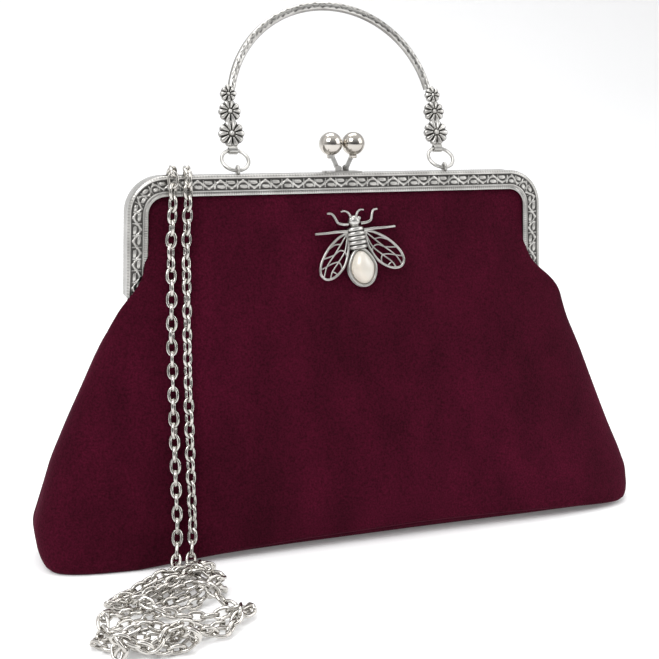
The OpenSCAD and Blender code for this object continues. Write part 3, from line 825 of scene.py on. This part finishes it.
def torus(radius, wire, steps=72, sides=18):
    turn = np.linspace(0, 2 * math.pi, steps, endpoint=False)
    angle = np.linspace(0, 2 * math.pi, sides, endpoint=False)
    r = radius + wire * np.cos(angle)[None, :]
    x = r * np.cos(turn)[:, None]
    z = r * np.sin(turn)[:, None]
    y = np.broadcast_to(wire * np.sin(angle)[None, :], x.shape)
    return np.stack([x, y, z], axis=-1).reshape(-1, 3), grid_faces(steps, sides, True, True)


def make_ring(hand):
    side_name = "left" if hand < 0 else "right"
    verts, faces = torus(RING_R, RING_WIRE)
    verts = turned(verts + [0, 0, RING_R], "x", -RING_LEAN) + [hand * EYELET[0], EYELET[1], EYELET[2]]
    add_mesh(f"ring_{side_name}", verts, faces, antique, f"ring_{side_name}",
             (f"handle_ring_{side_name}",), 60, np.full(len(verts), 0.08))
    verts, faces = torus(1.8, 0.7, 40, 14)
    verts = turned(verts, "z", 90) + [hand * EYELET[0], EYELET[1], EYELET[2]]
    add_mesh(f"eyelet_{side_name}", verts, faces, antique, "root",
             (f"handle_eyelet_{side_name}",), 60, np.full(len(verts), 0.15))


make_bow()
for hand in (-1, 1):
    for size in ROSETTES:
        rosette(size, hand)
    make_bridges(hand)
    make_ring(hand)

# ---------------------------------------------------------------- clasp

BALL_R = (ball_high[0] - ball_low[0]) / 2
BALL_X = -(ball_high[0] + ball_low[0]) / 2
BALL_Z = (ball_high[2] + ball_low[2]) / 2


def make_ball(side, body, name):
    arc = np.linspace(-math.pi / 2 + 0.28, math.pi / 2, 40)
    profile = [(1.45, -BALL_R - 1.2), (1.75, -BALL_R - 0.9), (1.75, -BALL_R + 0.1)]
    profile += [(BALL_R * math.cos(a), BALL_R * math.sin(a)) for a in arc]
    verts, faces = lathe(profile, 64)
    verts = verts + [side * BALL_X, side * 0.4, BALL_Z]
    add_mesh(f"ball_{name}", verts, faces, ball_material(), body, (f"clasp_ball_{name}",), 60)


make_ball(-1, "clasp_front", "front")
make_ball(1, "clasp_back", "back")

# ---------------------------------------------------------------- bee

BEE_AT = (3.3, 0.0, FRAME_Z - 30)
BEE_TURN = 6.9
BEE_STAND = 1.2
PEARL_Y = -13.6
PEARL_R = 5.7
PEARL_L = 15.6


def bee_plane():
    """Depth and slope of the velvet behind the bee, from the CAD panel's rule."""
    x, _, z = BEE_AT
    front = wall_y(x, z)
    slope = math.degrees(math.atan((wall_y(x, z - 20) - front) / 20))
    return front + BEE_STAND, slope


def on_panel(verts):
    front, slope = bee_plane()
    verts = turned(verts, "z", BEE_TURN)
    return turned(verts, "x", 90 - slope) + [BEE_AT[0], -front, BEE_AT[2]]


def egg(grow, samples):
    """The pearl's outline: wider towards the tail, as (x, y) points."""
    a = np.linspace(0, 2 * math.pi, samples, endpoint=False)
    narrow = np.where(np.sin(a) > 0, 1 - 0.25 * np.sin(a), 1)
    return np.stack([(PEARL_R + grow) * np.cos(a) * narrow,
                     PEARL_Y + (PEARL_L / 2 + grow) * np.sin(a)], axis=1)


def dome(grow, base, height, rings=18, samples=72):
    rows = []
    middle = np.array([0, PEARL_Y])
    for t in np.linspace(0, math.pi / 2, rings):
        outline = (egg(grow, samples) - middle) * max(math.cos(t), 0.002) + middle
        rows.append(np.column_stack([outline, np.full(samples, base + height * math.sin(t))]))
    verts = np.vstack(rows)
    faces = grid_faces(rings, samples, close_cols=True)
    faces.append(tuple(range(samples))[::-1])
    faces.append(tuple((rings - 1) * samples + k for k in range(samples)))
    return verts, faces


def make_bee():
    verts, faces = dome(0, 1.5, 4.6)
    add_mesh("pearl_abdomen", on_panel(verts), faces, pearl_material(), "root", ("bee_pearl",), 60)
    parts = [dome(1.5, 0.1, 1.6, 8)]
    rim = egg(0.85, 96)
    rim = np.column_stack([rim, np.full(len(rim), 1.9)])
    parts.append(tube(np.vstack([rim, rim[:2]]), 0.75, 12))
    profile = [(0.001, -5.4)]
    for k in range(5):
        y = -5.2 + 2.1 * k
        r = 4.9 - 0.24 * abs(k - 1.6) ** 1.5
        profile += [(r - 0.8, y), (r, y + 0.45), (r + 0.1, y + 1.0), (r, y + 1.6), (r - 0.8, y + 2.05)]
    profile += [(2.6, 5.8), (0.001, 6.2)]
    v, f = lathe(profile, 40)
    parts.append((turned(v, "x", -90) * [1, 1, 0.72] + [0, 0, 0.6], f))
    head = [(3.0 * math.cos(a), 2.7 * math.sin(a)) for a in np.linspace(-1.5, 1.57, 18)]
    v, f = lathe(head, 32)
    parts.append((turned(v, "x", -90) * [1, 1, 0.8] + [0, 8.2, 1.2], f))
    for hand in (-1, 1):
        v, f = lathe([(1.0 * math.cos(a), 1.0 * math.sin(a)) for a in np.linspace(-1.5, 1.57, 10)], 16)
        parts.append((v + [hand * 2.0, 9.0, 2.6], f))
    verts, faces = join_parts(parts)
    ridge = np.clip(0.85 - np.abs(np.sin((verts[:, 1] + 5.2) * math.pi / 2.1)) * 1.1, 0, 1)
    dark = np.where((verts[:, 1] > -5.5) & (verts[:, 1] < 5.6), ridge, 0.12)
    add_mesh("bee_figure", on_panel(verts), faces, antique, "root", ("bee_body",), 50, dark)
    for hand in (-1, 1):
        make_wing(hand)
    make_limbs()


WING = [(4.6, 3.2), (9.5, 1.2), (15, -2.8), (19.4, -8.2), (20.9, -13.0), (19.4, -16.0), (16.2, -16.6),
        (12.2, -15.0), (8.4, -11.6), (6.0, -7.0), (4.6, -2.2)]
VEINS = [
    [(4.8, 2.4), (8.4, -1.6), (12.6, -6.0), (17.2, -10.6), (19.6, -15.4)],
    [(4.8, 0.6), (7.0, -5.0), (11.0, -9.4), (15.0, -13.4), (16.4, -16.2)],
    [(8.4, -1.6), (11.4, -1.4), (14.6, -2.8)],
    [(7.0, -5.0), (9.6, -4.4), (12.6, -6.0)],
    [(12.6, -6.0), (15.6, -6.6), (18.4, -7.0)],
    [(11.0, -9.4), (13.8, -9.6), (17.2, -10.6)],
    [(17.2, -10.6), (19.0, -11.2), (20.6, -11.6)],
    [(7.0, -5.0), (6.6, -6.6), (6.4, -8.2)],
    [(11.0, -9.4), (10.2, -11.0), (10.0, -12.8)],
    [(15.0, -13.4), (13.6, -14.2), (12.8, -15.2)],
]


def make_wing(hand):
    parts = []
    outline = smooth_path([(x, y, 1.0) for x, y in WING + WING[:1]], 0.5)
    parts.append(tube(outline, 0.62, 10))
    for vein in VEINS:
        line = smooth_path([(x, y, 0.95) for x, y in vein], 0.5)
        parts.append(tube(line, 0.34, 8))
    verts, faces = join_parts(parts)
    verts[:, 2] += 0.02 * (verts[:, 0] - 5) * 4
    if hand < 0:
        verts = verts * [-1, 1, 1]
        faces = [f[::-1] for f in faces]
    name = "left" if hand < 0 else "right"
    add_mesh(f"wing_{name}", on_panel(verts), faces, antique, "root", (f"bee_wing_{name}",), 60,
             np.full(len(verts), 0.12))


LIMB_TILT = 0.055
LIMBS = [
    ([(4.0, 3.6, 1.0), (9, 3.8, 1.3), (14, 3.7, 1.4), (19.8, 3.8, 1.0)], 0.72),
    ([(3.2, 6.8, 1.0), (6.0, 7.0, 1.6), (8.2, 8.0, 1.6), (9.2, 10.6, 1.4), (10.4, 12.4, 1.2),
      (12.4, 12.7, 1.0)], 0.66),
    ([(1.4, 10.4, 1.4), (2.4, 12.2, 1.5), (4.0, 13.1, 1.3), (5.6, 12.9, 1.1)], 0.52),
]


def make_limbs():
    parts = []
    for points, radius in LIMBS:
        line = smooth_path(points, 0.4)
        taper = np.linspace(1.15, 0.75, len(line)) * radius
        verts, faces = tube(line, taper, 10)
        for hand in (1, -1):
            side = verts * [hand, 1, 1]
            side[:, 1] -= LIMB_TILT * side[:, 0]
            parts.append((side, faces if hand > 0 else [f[::-1] for f in faces]))
    verts, faces = join_parts(parts)
    add_mesh("bee_limbs", on_panel(verts), faces, antique, "root", ("bee_legs",), 60,
             np.full(len(verts), 0.1))


make_bee()

# ---------------------------------------------------------------- small soft parts inside


def make_paper_cord(side, body, name):
    """Two twisted plies that wedge the velvet into the frame's slot."""
    low, high = node_size(f"paper_cord_{name}")
    middle, ply = (low + high) / 2, (high[2] - low[2]) / 4
    x = np.linspace(low[0], high[0], 360)
    parts = []
    for phase in (0, math.pi):
        twist = x / 1.1 + phase
        line = np.stack([x, middle[1] + ply * np.cos(twist), middle[2] + ply * np.sin(twist)], axis=1)
        parts.append(tube(line, ply, 8))
    verts, faces = join_parts(parts)
    add_mesh(f"twisted_cord_{name}", verts, faces, paper, body, (f"paper_cord_{name}",), 60)


def make_ribbon(name):
    """A flat ribbon loop that holds the chain's clasp to the lining."""
    low, high = node_size(f"chain_tab_{name}")
    across = np.linspace(low[0], high[0], 9)
    share = np.linspace(0, 1, 30)
    lean = (1 - share) ** 1.3
    rows = []
    for x in across:
        edge = 0.12 * math.cos((x - low[0]) * 6)
        y = low[1] + 0.8 + (high[1] - low[1] - 2.6) * lean + edge
        rows.append(np.stack([np.full(30, x), y, high[2] - 1.4 - share * (high[2] - low[2] - 2)], axis=1))
    verts, faces = np.vstack(rows), grid_faces(len(across), 30)
    ribbon = add_mesh(f"ribbon_{name}", verts, faces, satin, "root", (f"chain_tab_{name}",), 80)
    thicken(ribbon, 0.5, False)


paper = paper_material()
make_paper_cord(-1, "root", "front")
make_paper_cord(1, "back_half", "back")
for name in ("left", "right"):
    make_ribbon(name)

# ---------------------------------------------------------------- CAD nodes that stay

KEPT = {
    antique: ["hinge_rivet_left", "hinge_rivet_right", "handle_tab_left", "handle_tab_right",
              "clasp_plate_front", "clasp_plate_back", "clasp_lever_front", "clasp_lever_back",
              "bee_posts", "bee_washers"],
    bright: ["chain_clasp_left", "chain_clasp_right"],
}
for material, names in KEPT.items():
    for name in names:
        slots = nodes[name].data.materials
        slots.clear()
        slots.append(material)

# ---------------------------------------------------------------- floor and light


def make_stage():
    """A pale floor that curves up into a wall far behind, so that no horizon shows."""
    floor = Shader("floor", Roughness=0.9)
    tone = floor.ramp(floor.noise(2.0), [(0.4, (0.90, 0.90, 0.905)), (0.6, (0.92, 0.92, 0.925))])
    floor.set("Base Color", tone)
    floor.set("Emission Color", (1, 1, 1, 1))
    floor.set("Emission Strength", 0.12)
    reach, bend, tall = 1.6, 0.9, 2.2
    profile = [(-reach, 0.0), (reach - bend, 0.0)]
    for a in np.linspace(0, math.pi / 2, 24)[1:]:
        profile.append((reach - bend + bend * math.sin(a), bend - bend * math.cos(a)))
    profile.append((reach, tall))
    verts = [(x, y, z) for y, z in profile for x in (-2.5, 2.5)]
    mesh = bpy.data.meshes.new("floor")
    mesh.from_pydata(verts, [], [f[::-1] for f in grid_faces(len(profile), 2)])
    mesh.shade_smooth()
    mesh.materials.append(floor.material)
    piece = bpy.data.objects.new("floor", mesh)
    bpy.context.scene.collection.objects.link(piece)


def area_light(name, place, target, size, power):
    light = bpy.data.lights.new(name, "AREA")
    light.shape = "RECTANGLE"
    light.size, light.size_y = size
    light.energy = power
    piece = bpy.data.objects.new(name, light)
    piece.location = place
    aim = Vector(target) - Vector(place)
    piece.rotation_euler = aim.to_track_quat("-Z", "Y").to_euler()
    bpy.context.scene.collection.objects.link(piece)


def make_light():
    world = bpy.data.worlds.new("studio")
    bpy.context.scene.world = world
    world.use_nodes = True
    tree = world.node_tree
    place = tree.nodes.new("ShaderNodeTexCoord")
    slant = tree.nodes.new("ShaderNodeVectorMath")
    slant.operation = "DOT_PRODUCT"
    slant.inputs[1].default_value = (0.0, 0.8, 0.6)
    shade = tree.nodes.new("ShaderNodeValToRGB")
    dark, pale = shade.color_ramp.elements
    shift = tree.nodes.new("ShaderNodeMapRange")
    shift.inputs["From Min"].default_value = -1.0
    tree.links.new(place.outputs["Generated"], slant.inputs[0])
    tree.links.new(slant.outputs["Value"], shift.inputs["Value"])
    tree.links.new(shift.outputs["Result"], shade.inputs["Fac"])
    tree.links.new(shade.outputs["Color"], tree.nodes["Background"].inputs["Color"])
    dark.position, dark.color = 0.15, (0.16, 0.16, 0.165, 1)
    pale.position, pale.color = 0.62, (1.0, 1.0, 1.0, 1)
    tree.nodes["Background"].inputs["Strength"].default_value = 1.0
    middle = (0, 0, 0.12)
    area_light("key", (-0.7, -0.7, 1.0), middle, (0.7, 0.7), 9)
    area_light("fill", (0.9, -0.5, 0.6), middle, (0.8, 0.8), 4)
    area_light("top", (0, 0.3, 1.3), middle, (1.0, 0.6), 7)


make_stage()
make_light()
bpy.context.scene.view_settings.view_transform = "Standard"
